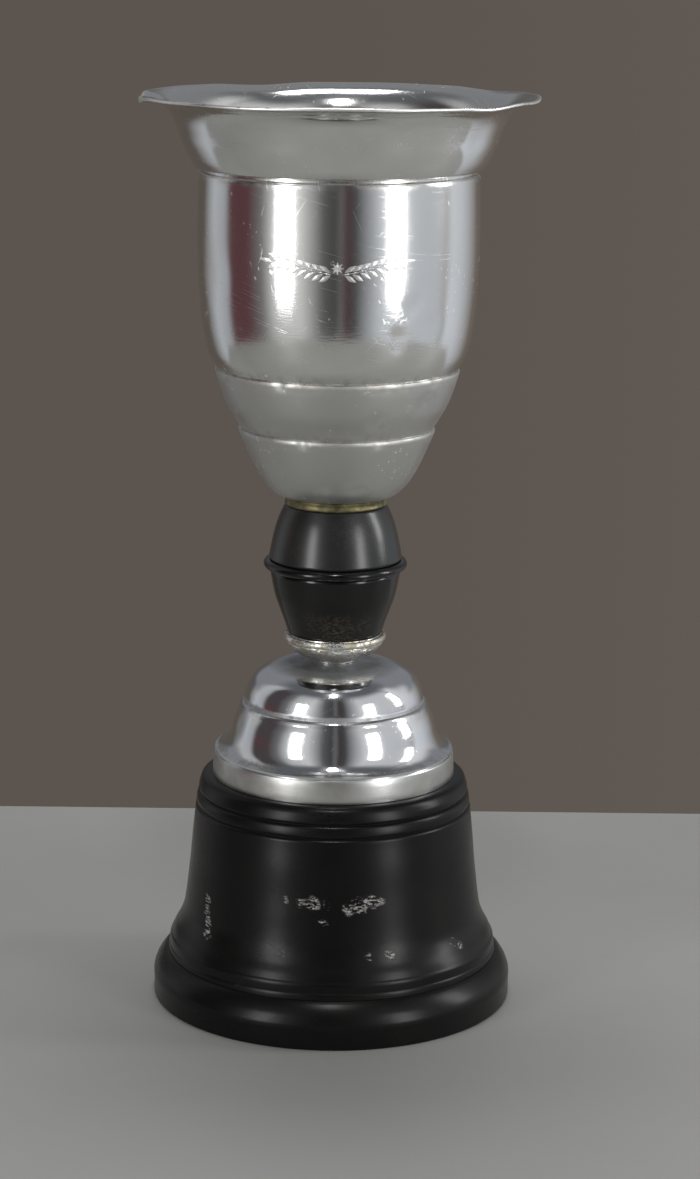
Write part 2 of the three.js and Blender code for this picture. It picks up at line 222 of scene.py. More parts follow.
def press(piece, place, push, reach):
    """Move the vertex nearest to a place by some millimetres, with what lies within reach of it."""
    forget_selection(piece)
    nearest = min(piece.data.vertices, key=lambda vertex: (vertex.co - place).length_squared)
    nearest.select = True
    bpy.context.tool_settings.mesh_select_mode = (True, False, False)
    bpy.ops.object.mode_set(mode="EDIT")
    bpy.ops.transform.translate(value=push * MM, use_proportional_edit=True,
                                proportional_edit_falloff="SMOOTH", proportional_size=reach * MM)
    end_editing()


# %% [markdown]
# ## Marks that a finish can read
# A scuff or a patch of tarnish sits in one place on the real piece. It could be put there by a long chain
# of nodes, but it is simpler to paint it on: a float attribute on the mesh holds how strong the mark is at
# each vertex, and the material breaks that soft patch up with fine noise.

# %% Paint soft patches into an attribute
def how_far(vertex, place):
    """A vertex's distance from a spot, or from a ring given as a radius and a height in millimetres."""
    if isinstance(place, Vector):
        return (vertex.co - place).length
    radius, height = place
    return math.hypot(vertex.co.to_2d().length - radius * MM, vertex.co.z - height * MM)


def spots(*marks):
    """Patches on a wall. Each mark is a radius, an angle and a height, and then a reach and a strength."""
    return [(on_the_wall(*mark[:3]), *mark[3:]) for mark in marks]


def paint(piece, layer, patches):
    """Store soft patches as an attribute. Each is a spot or a ring, a reach in millimetres and a strength."""
    attribute = piece.data.attributes.new(layer, "FLOAT", "POINT")
    strengths = [0.0] * len(piece.data.vertices)
    for place, reach, strength in patches:
        for vertex in piece.data.vertices:
            distance = how_far(vertex, place) / (reach * MM)
            if distance < 1:
                fade = 1 - distance**2
                strengths[vertex.index] = max(strengths[vertex.index], strength * fade)
    attribute.data.foreach_set("value", strengths)
    print(f"{piece.name}: {len(patches)} patches of {layer}")


# %% [markdown]
# ## The cup
# The bowl was spun over a former from one disc. Its foot is rounded, two narrow rings stand out where the
# wall steps in, and a V-groove with a small shoulder marks off the flared mouth. The outline below is its
# outer face, from the hole in the floor to the rim. Each step is a short rounded lip and then a sharp
# crease, because the lip is what catches the light as a bright line with a dark one over it.

# %% Draw and spin the cup's outer face
CUP_SHEET = 0.8
ROD_HOLE = 3.4
CUP_BOTTOM = bottom_of("cup_bowl")

cup_floor = [(ROD_HOLE, 0), (9, 0), (13.6, 0)]
lowest_tier = flow((13.6, 0), (15.4, 0.35), (17.3, 1.35), (20.2, 4.4), (22.8, 9.0), (25.2, 14.4),
                   (26.6, 17.8))
lower_lip = eased((26.6, 17.8), (26.95, 18.9), (26.15, 18.98))
middle_tier = flow((26.15, 18.98), (26.75, 19.9), (28.1, 22.0), (30.2, 25.7), (31.9, 30.3), (33.0, 34.0))
upper_lip = eased((33.0, 34.0), (33.45, 35.2), (32.6, 35.22))
belly = flow((32.6, 35.22), (33.3, 36.3), (35.0, 39.6), (36.2, 44.3), (36.95, 49.5), (37.6, 57),
             (37.95, 65.6), (37.95, 76), (37.8, 84), (37.75, 86.9))
groove = eased((37.75, 86.9), (37.7, 87.9), (37.0, 88.2)) + eased((37.0, 88.7), (38.2, 88.85), (38.9, 89.4))
mouth = flow((38.9, 89.4), (40.3, 91.6), (42.0, 95.3), (43.35, 99.1), (45.0, 102.8), (47.4, 105.5),
             (50.4, 106.8), (53.5, 107.35), lines=6)

cup = turn("cup_spun_bowl", cup_floor + lowest_tier[1:] + lower_lip[1:] + middle_tier[1:] + upper_lip[1:]
           + belly[1:] + groove[1:] + mouth[1:], CUP_BOTTOM, sides=200)
thicken(cup, CUP_SHEET)

# %% Soften the rim's two edges
def ease_rim(piece, radius, width, segments):
    """Bevel the level ring edges that lie beyond a radius in millimetres."""
    forget_selection(piece)
    for edge in piece.data.edges:
        one, other = [piece.data.vertices[index].co for index in edge.vertices]
        level = abs(one.z - other.z) < WELD
        edge.select = level and min(one.to_2d().length, other.to_2d().length) > radius * MM
    bpy.context.tool_settings.mesh_select_mode = (False, True, False)
    bpy.ops.object.mode_set(mode="EDIT")
    bpy.ops.mesh.bevel(offset=width * MM, segments=segments, affect="EDGES")
    end_editing()


RIM = 53.5
RIM_HEIGHT = CUP_BOTTOM + 107.35
ease_rim(cup, RIM - 0.15, 0.34, segments=4)
# A painted highlight along the rim's edge, which is also made rougher.
paint(cup, "rim_painted_highlight", [((RIM, RIM_HEIGHT - CUP_SHEET / 2), 1.5, 1.0)])
print("The cup has", len(cup.data.vertices), "vertices")

# %% Bend the rim: a drooping lip on the left, and waves of less than a millimetre
rim_bends = [
    (-90, -1.9, 8), (-78, -0.5, 8), (-44, 0.2, 14), (0, 0.35, 24), (26, 0.1, 10), (46, -0.5, 11),
    (63, 0.2, 9), (92, 0.35, 16), (128, -0.6, 16), (165, 0.1, 14), (205, -0.7, 16), (238, 0.1, 12),
]
for angle, lift, reach in rim_bends:
    press(cup, on_the_wall(RIM, angle, RIM_HEIGHT), Vector((0, 0, lift)), reach)
print("The rim has", len(rim_bends), "bends")

# %% Dent the wall and nick the stepped rings
def inward(angle, depth):
    """A push of some millimetres towards the axis."""
    return -on_the_wall(depth, angle, 0) / MM


wall_dents = [
    (37.5, 35, 200, 0.3, 3.2), (37.4, 30, 198, 0.25, 3), (36.9, 26, 191, 0.3, 3.4),
    (36.5, 26, 187.5, 0.25, 3), (37.2, 42, 193, 0.2, 5), (37.6, -62, 205, 0.25, 11),
    (37.8, 140, 214, 0.5, 10), (36.8, -150, 192, 0.35, 8), (43.4, 56, 241, 0.3, 7), (31.8, 48, 171, 0.35, 5),
    (29.6, 20, 167.5, 0.3, 4),
]
for radius, angle, height, depth, reach in wall_dents:
    press(cup, on_the_wall(radius, angle, height), inward(angle, depth), reach)

ring_nicks = [(33.1, -27, 177, 0.4), (26.7, -20, 160.8, 0.45), (26.7, 25, 160.8, 0.4), (33.1, 52, 177, 0.3)]
for radius, angle, height, depth in ring_nicks:
    press(cup, on_the_wall(radius, angle, height), inward(angle, depth), 2.4)
shade(cup)
print(len(wall_dents), "dents and", len(ring_nicks), "nicks")

# %% Hand the cup over to the frame
def fit(piece, slot, *nodes):
    """Ride on the trophy's one body and stand for the CAD nodes that the piece refines. The slot is not used.
    """
    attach(piece, "root")
    if nodes:
        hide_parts(*nodes)


fit(cup, "cup_metal", "cup_bowl")

# %% [markdown]
# ## The seat ring and the knop
# A brass ring keeps the cup off the knop. The knop is two hollow mouldings that clamp a bead between them.
# Each is a closed outline with its bore, so each is a real shell. The edges that meet at the bead are
# eased, which leaves the two dark lines over and under it.

# %% Turn the seat ring
ring_height = height_of("cup_seat_ring")
seat_ring = turn("cup_seat_ring_turned", [
    (ROD_HOLE, 0), (13.4, 0), *eased((13.4, 0), (14.0, 0), (14.05, 0.5)),
    *eased((14.05, 0.5), (13.6, ring_height / 2), (14.05, ring_height - 0.4), lines=4),
    *eased((14.05, ring_height - 0.4), (14.1, ring_height), (13.6, ring_height)),
    (ROD_HOLE, ring_height), (ROD_HOLE, 0)], bottom_of("cup_seat_ring"))
fit(shade(seat_ring), "tarnished_brass", "cup_seat_ring")

# %% Turn the knop's upper half
KNOP_BORE = 15.3
upper_top = height_of("knop_upper")
knop_upper = turn("knop_upper_moulding", [
    (KNOP_BORE, 0), (17.6, 0), *eased((17.6, 0), (18.25, 0.02), (18.25, 0.75)),
    *flow((18.25, 0.75), (18.0, 2.2), (17.4, 5.2), (16.6, 8.6), (15.6, 11.6), (14.6, 13.9), (14.2, 14.7)),
    *eased((14.2, 14.7), (13.95, upper_top), (13.4, upper_top)),
    (ROD_HOLE, upper_top), (ROD_HOLE, 12.3), (11.2, 12.3), (KNOP_BORE, 5), (KNOP_BORE, 0)],
    bottom_of("knop_upper"))
fit(shade(knop_upper), "knop_satin", "knop_upper")

# %% Turn the bead
bead_height = height_of("knop_bead")
bead_nose = [(18.15 + 1.6 * math.cos(angle), bead_height / 2 * (1 + 0.97 * math.sin(angle)))
             for angle in (math.radians(degrees) for degrees in range(-90, 91, 15))]
knop_bead = turn("knop_bead_ring", [
    (KNOP_BORE, 0.05), (17.7, 0.05), *bead_nose, (17.7, bead_height - 0.05), (KNOP_BORE, bead_height - 0.05),
    (KNOP_BORE, 0.05)], bottom_of("knop_bead"))
fit(shade(knop_bead), "knop_gloss", "knop_bead")

# %% Turn the knop's lower half, with the spigot that the bead slides over
SPIGOT = 15.1
lower_top = bottom_of("knop_bead") - bottom_of("knop_lower")
spigot_top = height_of("knop_lower")
knop_lower = turn("knop_lower_moulding", [
    (ROD_HOLE, 0), (12.3, 0), *eased((12.3, 0), (12.85, 0), (13.0, 0.5)),
    *flow((13.0, 0.5), (14.15, 3.9), (15.4, 7.3), (16.6, 10.8), (17.3, 14.0), (17.9, 17.3)),
    *eased((17.9, 17.3), (18.0, lower_top), (17.3, lower_top)),
    (SPIGOT, lower_top), (SPIGOT, spigot_top), (12.6, spigot_top), (12.6, 14.2), (10, 3), (ROD_HOLE, 3),
    (ROD_HOLE, 0)], bottom_of("knop_lower"))
fit(shade(knop_lower), "knop_gloss", "knop_lower")

# %% [markdown]
# ## The collar, the chrome foot and its ring
# The collar is a shallow dish with a rolled lip, which stands on a low boss at the crown of the foot. The
# foot is spun sheet like the cup: a round dome, a narrow step, a second tier and a flare that ends on the
# satin ring.

# %% Turn the collar
collar_top = height_of("stem_collar")
collar = turn("stem_collar_dish", [
    (ROD_HOLE, 0), (5.6, 0), *eased((5.6, 0), (6.15, 0), (6.2, 0.45)),
    *flow((6.2, 0.45), (7.5, 0.95), (9.3, 1.75), (11.2, 2.95), (12.6, 4.3), (13.3, 5.4)),
    *eased((13.3, 5.4), (13.5, 5.85), (13.2, 6.0)),
    *eased((13.2, 6.05), (14.05, 5.95), (14.08, 6.75)), *eased((14.08, 6.75), (14.1, 7.7), (13.4, 7.8)),
    (13.15, 7.5), (12.75, 7.5), (12.65, collar_top), (ROD_HOLE, collar_top), (ROD_HOLE, 0)],
    bottom_of("stem_collar"))
fit(shade(collar), "worn_nickel", "stem_collar")

# %% Spin the chrome foot
FOOT_BOTTOM = bottom_of("foot_dome")
dome_top = height_of("foot_dome")
lower_foot = flow((32.95, 0.8), (31.9, 1.05), (30.6, 1.95), (29.4, 3.5), (28.5, 5.6), (27.9, 8.2),
                  (27.1, 10.7), (26.15, 12.7))
foot_lip = eased((26.15, 12.7), (25.95, 13.95), (25.0, 14.1))
upper_foot = flow((25.0, 14.1), (24.8, 15.2), (24.35, 17.2), (23.4, 19.4), (21.8, 21.5), (19.4, 23.0),
                  (16.4, 24.0), (13.4, 24.35), (11.8, 24.35))
boss = eased((11.8, 24.35), (8.6, 24.4), (6.5, dome_top), lines=8)
foot = turn("foot_dome_spun", lower_foot + foot_lip[1:] + upper_foot[1:] + boss[1:] + [(ROD_HOLE, dome_top)],
            FOOT_BOTTOM)
thicken(foot, CUP_SHEET)
press(foot, on_the_wall(20.5, 52, FOOT_BOTTOM + 22), inward(52, 0.35), 5)
press(foot, on_the_wall(27.5, -70, FOOT_BOTTOM + 9), inward(-70, 0.3), 6)
fit(shade(foot), "foot_chrome", "foot_dome")

# %% Turn the satin ring
ring_top = height_of("foot_ring")
foot_ring = turn("foot_ring_satin", [
    (32.4, 0), (33.3, 0), *eased((33.3, 0), (33.55, 0), (33.55, 0.3)),
    (33.5, ring_top / 3), (33.4, ring_top * 2 / 3), (33.3, ring_top - 0.5),
    *eased((33.3, ring_top - 0.5), (33.28, ring_top), (32.9, ring_top)),
    (28.6, ring_top), (28.6, ring_top - 1), (32.3, ring_top - 1), (32.4, 0)], bottom_of("foot_ring"))
fit(shade(foot_ring), "satin_aluminium", "foot_ring")

# %% [markdown]
# ## The plinth
# The plinth is one hollow moulding. Two grooves with a rounded bead between them run under its top edge,
# the side spreads into a cove, and below a fine double step comes the rounded foot. It is drawn as one
# closed outline, up the outside and down the inside, so that it can be looked into from underneath.

# %% Turn the plinth
PLINTH_TOP = height_of("plinth")
plinth_foot = [(44.2, 0), (49.3, 0), *eased((49.3, 0), (49.95, 0), (50.0, 0.8)),
               (50.05, 4.9), *eased((50.05, 4.9), (50.1, 5.4), (50.15, 5.9)),
               *flow((50.15, 5.9), (50.0, 7.3), (49.3, 9.2), (48.3, 10.8), (47.3, 12.0), (46.9, 12.35)),
               *eased((46.9, 12.35), (46.5, 12.9), (46.0, 12.8))]
double_step = [(45.95, 13.3), *eased((45.95, 13.3), (45.9, 14.3), (45.6, 14.5)), (45.55, 16.2),
               *eased((45.55, 16.2), (45.5, 17.1), (45.1, 17.4))]
side = flow((45.1, 17.4), (44.3, 19.2), (42.9, 21.8), (41.7, 25.0), (41.0, 29.0), (40.4, 34.0), (39.8, 39.5),
            (39.2, 46.5), (38.6, 52.0), (38.35, 54.6))
lower_groove = (eased((38.35, 54.6), (38.1, 55.1), (37.7, 55.25))
                + eased((37.7, 55.5), (38.05, 55.7), (38.1, 56.2)))
bead_between = flow((38.1, 56.2), (38.0, 57.3), (37.75, 58.3), lines=3)
upper_groove = (eased((37.75, 58.3), (37.5, 58.8), (37.0, 58.95))
                + eased((37.0, 59.2), (37.4, 59.4), (37.45, 59.9)))
plinth_edge = (flow((37.45, 59.9), (37.3, 60.9), (37.0, 61.8))
               + eased((37.0, 61.8), (36.7, 63.6), (34.9, PLINTH_TOP)))
hollow = [(ROD_HOLE, PLINTH_TOP), (ROD_HOLE, 58.7), (30.9, 58.7),
          *eased((30.9, 58.7), (33.1, 58.7), (33.3, 55.7)),
          *flow((33.3, 55.7), (35.0, 40), (36.7, 26), (38.6, 18.5), (40.4, 15.0), (44.0, 9.0), lines=3),
          (44.0, 1.0), *eased((44.0, 1.0), (44.0, 0.2), (44.2, 0))]
plinth = turn("plinth_moulding", plinth_foot + double_step + side[1:] + lower_groove[1:] + bead_between[1:]
              + upper_groove[1:] + plinth_edge[1:] + hollow, 0, sides=200)
fit(shade(plinth), "black_bakelite", "plinth")

# %% [markdown]
# ## The rod, its washers and its nuts
# The hardware shows inside the cup and under the plinth. The CAD nuts already have their turned-off
# corners, so they stay and only get a finish. The washers are turned again with eased edges, and the rod
# gets its thread: a row of sharp ridges at each end, a millimetre apart as on an M6 rod. They are rings,
# because a thread's slope is too slight to see at this size.

# %% Turn the washers
WASHER_EASE = 0.2


def turn_washer(name, node):
    """A flat washer with eased edges, the size of its CAD node."""
    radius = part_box(node)[1][0] / MM
    thick = height_of(node)
    ease = WASHER_EASE
    washer = turn(name, [
        (ROD_HOLE, ease), *eased((radius - ease, 0), (radius, 0), (radius, ease)),
        *eased((radius, thick - ease), (radius, thick), (radius - ease, thick)),
        *eased((ROD_HOLE + ease, thick), (ROD_HOLE, thick), (ROD_HOLE, thick - ease)),
        (ROD_HOLE, ease)], bottom_of(node), sides=96)
    fit(shade(washer), "zinc_steel", node)


turn_washer("cup_washer_turned", "cup_washer")
turn_washer("plinth_washer_turned", "plinth_washer")

# %% Cut the rod's thread
ROD = 3.0
PITCH = 1.0
THREAD_DEPTH = 0.55
THREADED = 12
rod_length = height_of("tie_rod")


def thread(start, turns):
    """The zigzag outline of some ridges of thread."""
    ridges = []
    for ridge in range(turns):
        ridges += [(ROD - THREAD_DEPTH, start + ridge * PITCH), (ROD, start + (ridge + 0.5) * PITCH)]
    return ridges


rod = turn("tie_rod_threaded", [
    (0, 0), (ROD - 0.8, 0), *thread(0.4, THREADED),
    (ROD - 0.3, THREADED + 1), (ROD - 0.3, rod_length - THREADED - 1),
    *thread(rod_length - THREADED - 0.6, THREADED), (ROD - 0.8, rod_length), (0, rod_length)],
    bottom_of("tie_rod"), sides=48)
fit(shade(rod), "zinc_steel", "tie_rod")

# %% [markdown]
# ## An engraved laurel
# The front of the belly carries a cut decoration: two laurel sprigs that lean away from a small star. A cut
# leaf flashes in facets that meet in its middle. One leaf is made from a circle of triangles round a centre
# and drawn in towards each end. All the cuts are wrapped on the wall with Shrinkwrap, and each one's centre
# is then lifted about a tenth of a millimetre.

# %% Lay out the cuts of both sprigs and the star
BELLY = 37.95
ENGRAVING_HEIGHT = 209.5
LEAF_CENTRE_LIFT = 0.09
BEFORE_THE_WALL = -BELLY - 3
LEAVES_A_SIDE = 8
SPRIG_LENGTH = 17


def add_cut(name, length, width, place, lean):
    """One lens-shaped cut, flat in front of the belly, leaning from the upright by some degrees."""
    select_nothing()
    bpy.ops.mesh.primitive_circle_add(vertices=12, radius=1, fill_type="TRIFAN", location=(0, 0, 0))
    cut = bpy.context.object
    cut.name = cut.data.name = name
    bpy.ops.object.mode_set(mode="EDIT")
    bpy.ops.transform.resize(value=(width / 2 * MM, length / 2 * MM, 1))
    bpy.ops.object.mode_set(mode="OBJECT")
    for vertex in cut.data.vertices:
        along = abs(vertex.co.y) / (length / 2 * MM)
        vertex.co.x *= 1 - 0.55 * along
    stand_up = Matrix.Rotation(math.radians(90), 4, "X")
    leaned = Matrix.Rotation(math.radians(lean), 4, "Y") @ stand_up
    cut.data.transform(Matrix.Translation(Vector(place) * MM) @ leaned)
    return cut


def sprig(side):
    """The leaves and the stem of one sprig, to the left (-1) or the right (+1) of the middle."""
    cuts = []
    for step in range(LEAVES_A_SIDE):
        along = 2.6 + step * 1.95
        rise = 1.4 * math.sin(along / SPRIG_LENGTH * math.pi / 2) ** 2 * 2.2 - 2.2
        size = 3.5 - 0.16 * step
        for over in (1, -1):
            place = (side * (along + 0.7), BEFORE_THE_WALL, ENGRAVING_HEIGHT + rise + over * 1.25)
            cuts.append(add_cut("leaf", size, 1.25, place, side * (90 - over * 32)))
        on_the_stem = (side * along, BEFORE_THE_WALL, ENGRAVING_HEIGHT + rise)
        cuts.append(add_cut("stem", 2.2, 0.34, on_the_stem, side * 82))
    tip = (side * 18.6, BEFORE_THE_WALL, ENGRAVING_HEIGHT + 0.9)
    cuts.append(add_cut("leaf", 3.1, 1.1, tip, side * 80))
    return cuts


def star():
    """Four short cuts that cross in a small star."""
    middle = (0, BEFORE_THE_WALL, ENGRAVING_HEIGHT - 0.6)
    return [add_cut("ray", 3.4, 0.9, middle, turn_by) for turn_by in (0, 45, 90, 135)]


cuts = sprig(-1) + sprig(1) + star()
print("The engraving has", len(cuts), "cuts")

# %% Join the cuts, wrap them on the wall and lift their centres
select_nothing()
for cut in cuts:
    cut.select_set(True)
bpy.context.view_layer.objects.active = cuts[0]
bpy.ops.object.join()
engraving = bpy.context.object
engraving.name = engraving.data.name = "laurel_engraving"

wrap = engraving.modifiers.new("wrap", "SHRINKWRAP")
wrap.target = cup
wrap.wrap_method = "PROJECT"
wrap.use_project_x = False
wrap.use_project_y = True
wrap.use_project_z = False
wrap.use_negative_direction = True
wrap.use_positive_direction = True
wrap.offset = 0.02 * MM
bpy.ops.object.modifier_apply(modifier="wrap")
print("The engraving lies on the belly:", [round(number / MM, 1) for number in engraving.bound_box[0]])
thickness = engraving.modifiers.new("cut", "SOLIDIFY")
thickness.thickness = 0.2 * MM
thickness.offset = -1
for vertex in engraving.data.vertices:
    spokes = [edge for edge in engraving.data.edges if vertex.index in edge.vertices]
    if len(spokes) > 3:
        vertex.co += Vector((vertex.co.x, vertex.co.y, 0)).normalized() * LEAF_CENTRE_LIFT * MM
bpy.ops.object.modifier_apply(modifier="cut")
shade(engraving, degrees=3)
fit(engraving, "cup_metal")

# %% [markdown]
# ## Building a finish out of nodes
# Each finish is one Principled shader with patterns on its colour, its roughness and its bump. All patterns
# read Object coordinates, so they stay on the piece. A few small helpers keep the node code short: one adds
# a node and sets its inputs, and the others make the patterns that every worn surface shares. The patterns
# are noise, a soft threshold, fine scratches, and the rings that a polishing mop or a mould leaves round
# the axis.

# %% Helpers that add nodes
def start_finish(name, **inputs):
    """A new material whose Principled shader has these inputs set."""
    finish = bpy.data.materials.new(name)
    finish.use_nodes = True
    tree = finish.node_tree
    shader = tree.nodes["Principled BSDF"]
    for socket, value in inputs.items():
        shader.inputs[socket.replace("_", " ")].default_value = value
    return finish, tree, shader


def add_node(tree, kind, inputs, output=0, **settings):
    """Add a node, set or link its inputs by name or number, and return one of its outputs."""
    node = tree.nodes.new(kind)
    for setting, value in settings.items():
        setattr(node, setting, value)
    for socket, value in inputs.items():
        if isinstance(value, bpy.types.NodeSocket):
            tree.links.new(value, node.inputs[socket])
        else:
            node.inputs[socket].default_value = value
    return node.outputs[output]


def place_on(tree, stretch=(1, 1, 1), turn_by=(0, 0, 0)):
    """Object coordinates, turned and then stretched."""
    here = add_node(tree, "ShaderNodeTexCoord", {}, output="Object")
    turned_by = add_node(tree, "ShaderNodeMapping", {"Vector": here, "Rotation": turn_by})
    return add_node(tree, "ShaderNodeMapping", {"Vector": turned_by, "Scale": stretch})


def math_node(tree, operation, one, other=0.0):
    """One step of arithmetic."""
    return add_node(tree, "ShaderNodeMath", {0: one, 1: other}, operation=operation)


def times(tree, pattern, weight):
    """A pattern made stronger or weaker, or limited to where another pattern is strong."""
    return math_node(tree, "MULTIPLY", pattern, weight)


# %% Helpers that add patterns
def noise(tree, scale, detail=3.0, stretch=(1, 1, 1), turn_by=(0, 0, 0), roughness=0.55):
    """Noise between 0 and 1. The scale is in bumps to the metre."""
    return add_node(tree, "ShaderNodeTexNoise", {
        "Vector": place_on(tree, stretch, turn_by), "Scale": scale, "Detail": detail, "Roughness": roughness})


def threshold(tree, value, low, high, bottom=0.0, top=1.0):
    """A smooth step from one level to another."""
    return add_node(tree, "ShaderNodeMapRange", {
        "Value": value, "From Min": low, "From Max": high, "To Min": bottom, "To Max": top},
        interpolation_type="SMOOTHSTEP")


def scratches(tree, scale, width, lean, sparse=(0.55, 0.66)):
    """Thin straight lines that lean by some degrees from the upright, broken into short lengths."""
    drawn_out = (1, 0.05, 0.05)
    turn_by = (0.3 * lean / 90, math.radians(lean), 0.4)
    waves = noise(tree, scale, detail=0.0, stretch=drawn_out, turn_by=turn_by)
    offset = math_node(tree, "ABSOLUTE", math_node(tree, "SUBTRACT", waves, 0.5))
    line = threshold(tree, offset, 0.0, width, 1.0, 0.0)
    where = threshold(tree, noise(tree, 130, detail=1.0, turn_by=turn_by), *sparse)
    return times(tree, line, where)


def strongest(tree, *patterns):
    """The highest of some patterns at each point."""
    highest = patterns[0]
    for pattern in patterns[1:]:
        highest = math_node(tree, "MAXIMUM", highest, pattern)
    return highest


def height_up(tree):
    """The height above the table, in metres."""
    here = add_node(tree, "ShaderNodeTexCoord", {}, output="Object")
    return add_node(tree, "ShaderNodeSeparateXYZ", {0: here}, output="Z")


def mixed(tree, factor, one, other):
    """A colour between two colours."""
    return add_node(tree, "ShaderNodeMix", {0: factor, 6: one, 7: other}, output=2, data_type="RGBA")


def bumped(tree, height, depth, below=None):
    """A bump of some millimetres, laid over another one if that is given."""
    inputs = {"Height": height, "Distance": depth * MM, "Strength": 1.0}
    if below is not None:
        inputs["Normal"] = below
    return add_node(tree, "ShaderNodeBump", inputs)


def painted(tree, layer):
    """The strength of a painted attribute."""
    return add_node(tree, "ShaderNodeAttribute", {}, output="Fac", attribute_name=layer)


def wear(tree, shader, color, roughness, normal):
    """Plug a finish's three patterns into its shader."""
    for socket, value in (("Base Color", color), ("Roughness", roughness), ("Normal", normal)):
        tree.links.new(value, shader.inputs[socket])


def level(tree, base, *parts):
    """A base value with weighted patterns added to it."""
    total = base
    for weight, pattern in parts:
        total = math_node(tree, "MULTIPLY_ADD", pattern, weight)
        node = total.node
        if isinstance(base, bpy.types.NodeSocket):
            tree.links.new(base, node.inputs[2])
        else:
            node.inputs[2].default_value = base
        base = total
    return total


# %% [markdown]
# ## Polished metal that has been handled
# The cup is bright but not a mirror. It was mopped while it turned, so faint rings run round it. Years of
# wiping left hair-thin scratches in all directions, the sheet is a little uneven, and a brown bloom sits in
# the creases where no cloth reaches. The tiers below the upper ring are rougher than the belly, and their
# colour is darker as painted shade. Roughness varies more than colour does, because that is how metal shows
# its age. The rim's edge is a painted highlight, brighter and rougher. The chrome of the foot is brighter,
# with specks of rust, and painted shade darkens its crown round the collar and the crease at its ledge,
# which are rougher there as well.

# %% The cup's finish
WHITE_METAL = (0.80, 0.80, 0.785, 1)
# The tiers' darker colour is painted shade.
TIERS_PAINTED_SHADE = (0.50, 0.50, 0.48, 1)
CREASE_BLOOM = (0.33, 0.29, 0.22, 1)
# This bright colour serves the worn marks and the rim's painted highlight.
WORN_BRIGHT_AND_HIGHLIGHT = (0.95, 0.94, 0.92, 1)
UPPER_STEP_HEIGHT = (CUP_BOTTOM + 35.2) * MM
STEP_BLEND = 0.5 * MM


def make_cup_metal():
    finish, tree, shader = start_finish("cup_polished_metal", Metallic=1.0)
    cloudy = noise(tree, 55, detail=5)
    fine = noise(tree, 900, detail=3)
    mop_rings = noise(tree, 1, detail=3, stretch=(40, 40, 2600))
    brushed = noise(tree, 1, detail=3, stretch=(280, 280, 1700))
    hairs = strongest(tree, scratches(tree, 260, 0.006, 20), scratches(tree, 300, 0.006, -35),
                      scratches(tree, 340, 0.007, 75, sparse=(0.5, 0.62)))
    bruise = times(tree, painted(tree, "bruises"), threshold(tree, noise(tree, 1100, 3), 0.48, 0.66))
    bloom = times(tree, painted(tree, "bloom"), threshold(tree, noise(tree, 300, 5), 0.3, 0.75))
    edge = times(tree, painted(tree, "rim_painted_highlight"), threshold(tree, noise(tree, 260, 4), 0.25, 0.5, 0.45, 1.0))
    step_low, step_high = UPPER_STEP_HEIGHT - STEP_BLEND, UPPER_STEP_HEIGHT + STEP_BLEND
    tiers = threshold(tree, height_up(tree), step_low, step_high, 1.0, 0.0)
    small_marks = threshold(tree, noise(tree, 900, 2, stretch=(1, 1, 0.5), turn_by=(0, 0.6, 0)), 0.66, 0.70)
    ticks = times(tree, small_marks, threshold(tree, noise(tree, 75, 3), 0.50, 0.62))
    tint = mixed(tree, threshold(tree, cloudy, 0.35, 0.75, 0, 0.35), WHITE_METAL, (0.70, 0.69, 0.66, 1))
    # Painted shade: the tiers below the upper step get a darker colour.
    tint = mixed(tree, times(tree, tiers, 0.8), tint, TIERS_PAINTED_SHADE)
    color = mixed(tree, times(tree, bloom, bloom), tint, CREASE_BLOOM)
    # Bruises and ticks brighten as wear. Along the rim the brightening is a painted highlight.
    bright = strongest(tree, times(tree, bruise, 0.5), edge, ticks)
    color = mixed(tree, bright, color, WORN_BRIGHT_AND_HIGHLIGHT)
    roughness = level(tree, 0.07, (0.10, cloudy), (0.05, fine), (0.15, hairs), (0.25, bloom), (0.2, bruise),
                      (0.26, tiers), (0.34, edge), (0.2, ticks))
    uneven = bumped(tree, noise(tree, 34, detail=1.5), 0.11)
    spun = bumped(tree, mop_rings, 0.002, uneven)
    grained = bumped(tree, brushed, 0.014, spun)
    scratched = bumped(tree, hairs, -0.004, grained)
    bruised = bumped(tree, times(tree, bruise, noise(tree, 1500, 3)), 0.05, scratched)
    wear(tree, shader, color, roughness, bruised)
    return finish


cup_metal = make_cup_metal()

# %% The bright cuts of the engraving
def make_bright_cut():
    finish, tree, shader = start_finish("engraved_bright_cut", Metallic=1.0)
    chatter = noise(tree, 2600, detail=2, stretch=(1, 1, 0.35), turn_by=(0, 0.7, 0))
    color = mixed(tree, chatter, (0.97, 0.97, 0.96, 1), (0.78, 0.78, 0.77, 1))
    wear(tree, shader, color, level(tree, 0.26, (0.25, chatter)), bumped(tree, chatter, 0.05))
    return finish


bright_cut = make_bright_cut()

